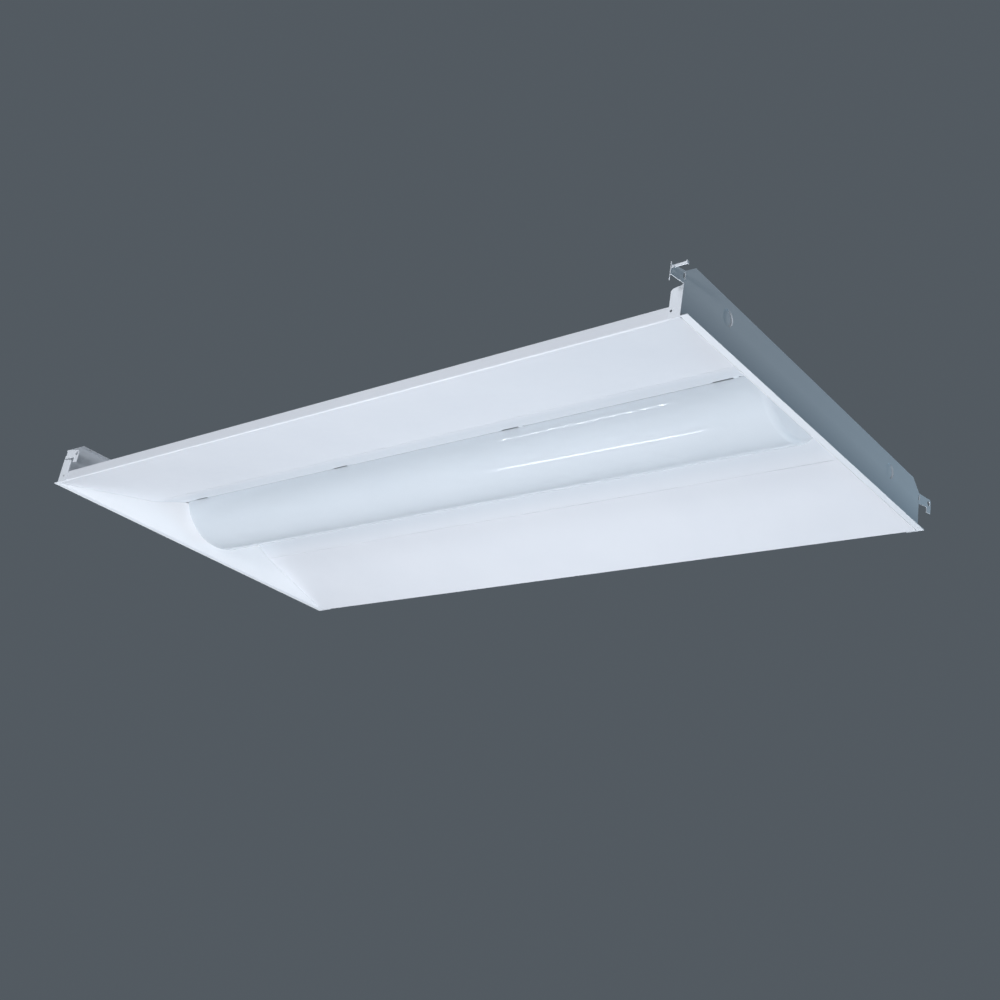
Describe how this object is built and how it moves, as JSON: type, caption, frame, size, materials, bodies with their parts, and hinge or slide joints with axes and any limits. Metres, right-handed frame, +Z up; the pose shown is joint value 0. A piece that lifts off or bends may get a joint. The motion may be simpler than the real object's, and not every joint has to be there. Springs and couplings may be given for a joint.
{
  "type": "recessed troffer light",
  "caption": "Lay-in ceiling light: crowned white reflectors either side of a hinged frosted lens, with folding grid clips, light boards and driver inside.",
  "frame": {"origin": "Middle of the grid opening, in the plane of the face that rests on the grid.", "axes": "X runs along the light towards the end where two clips stand out, Y across it towards the far side, Z up into the ceiling. The room is below."},
  "size_m": [1.2247, 0.6753, 0.0756],
  "materials": {
    "white_enamel": "satin powder coat",
    "galvanised": "zinc coated sheet",
    "lens_acrylic": "frosted inside, smooth outside",
    "board_mask": "white solder mask",
    "led_phosphor": "phosphor gel",
    "zinc_screw": "bright zinc",
    "rivet_metal": "as drawn",
    "connector_nylon": "moulded nylon",
    "bushing_rubber": "moulded",
    "driver_laminate": "solder mask",
    "component_dark": "moulded",
    "insulation_black": "extruded",
    "insulation_white": "extruded",
    "insulation_red": "extruded",
    "insulation_blue": "extruded",
    "insulation_green": "extruded"
  },
  "bodies": {
    "housing": {"access_plate": "galvanised", "access_screws": "zinc_screw", "board_connectors": "connector_nylon", "board_links": "connector_nylon", "board_screws": "zinc_screw", "corner_rivets": "rivet_metal", "disconnect_plug": "connector_nylon", "disconnect_socket": "connector_nylon", "driver_board": "driver_laminate", "driver_case": "galvanised", "driver_components": "component_dark", "driver_lid": "galvanised", "driver_screws": "zinc_screw", "driver_terminals": "connector_nylon", "earth_lead": "insulation_green", "earth_screw": "zinc_screw", "end_plate_left": "white_enamel", "end_plate_right": "white_enamel", "end_reflector_left": "white_enamel", "end_reflector_right": "white_enamel", "end_reflector_rivets": "rivet_metal", "housing_tray": "galvanised", "lead_bushing": "bushing_rubber", "led_board_left_far": "board_mask", "led_board_left_near": "board_mask", "led_board_right_far": "board_mask", "led_board_right_near": "board_mask", "led_lead_blue": "insulation_blue", "led_lead_red": "insulation_red", "led_packages": "led_phosphor", "light_tray": "galvanised", "light_tray_screws": "zinc_screw", "reflector_far": "white_enamel", "reflector_near": "white_enamel", "row_link_lead": "insulation_blue", "supply_lead_black": "insulation_black", "supply_lead_white": "insulation_white", "tray_rivets": "rivet_metal"},
    "lens": {"lens": "lens_acrylic"},
    "clip_near_left": {"clip_near_left": "white_enamel"},
    "clip_far_left": {"clip_far_left": "white_enamel"},
    "clip_near_right": {"clip_near_right": "white_enamel"},
    "clip_far_right": {"clip_far_right": "white_enamel"}
  },
  "joints": [
    {"name": "lens_hinge", "type": "hinge", "parent": "housing", "child": "lens", "pos_m": [0, -0.07825, 0.0572], "axis": [-1, 0, 0], "range_deg": [0, 50]},
    {"name": "clip_near_left_fold", "type": "hinge", "parent": "housing", "child": "clip_near_left", "pos_m": [-0.5963, -0.30105, 0.05], "axis": [0, 0, -1], "range_deg": [0, 90]},
    {"name": "clip_far_left_fold", "type": "hinge", "parent": "housing", "child": "clip_far_left", "pos_m": [-0.5963, 0.30105, 0.05], "axis": [0, 0, 1], "range_deg": [0, 90]},
    {"name": "clip_near_right_fold", "type": "hinge", "parent": "housing", "child": "clip_near_right", "pos_m": [0.5963, -0.30105, 0.05], "axis": [0, 0, -1], "range_deg": [0, 90]},
    {"name": "clip_far_right_fold", "type": "hinge", "parent": "housing", "child": "clip_far_right", "pos_m": [0.5963, 0.30105, 0.05], "axis": [0, 0, 1], "range_deg": [0, 90]}
  ]
}
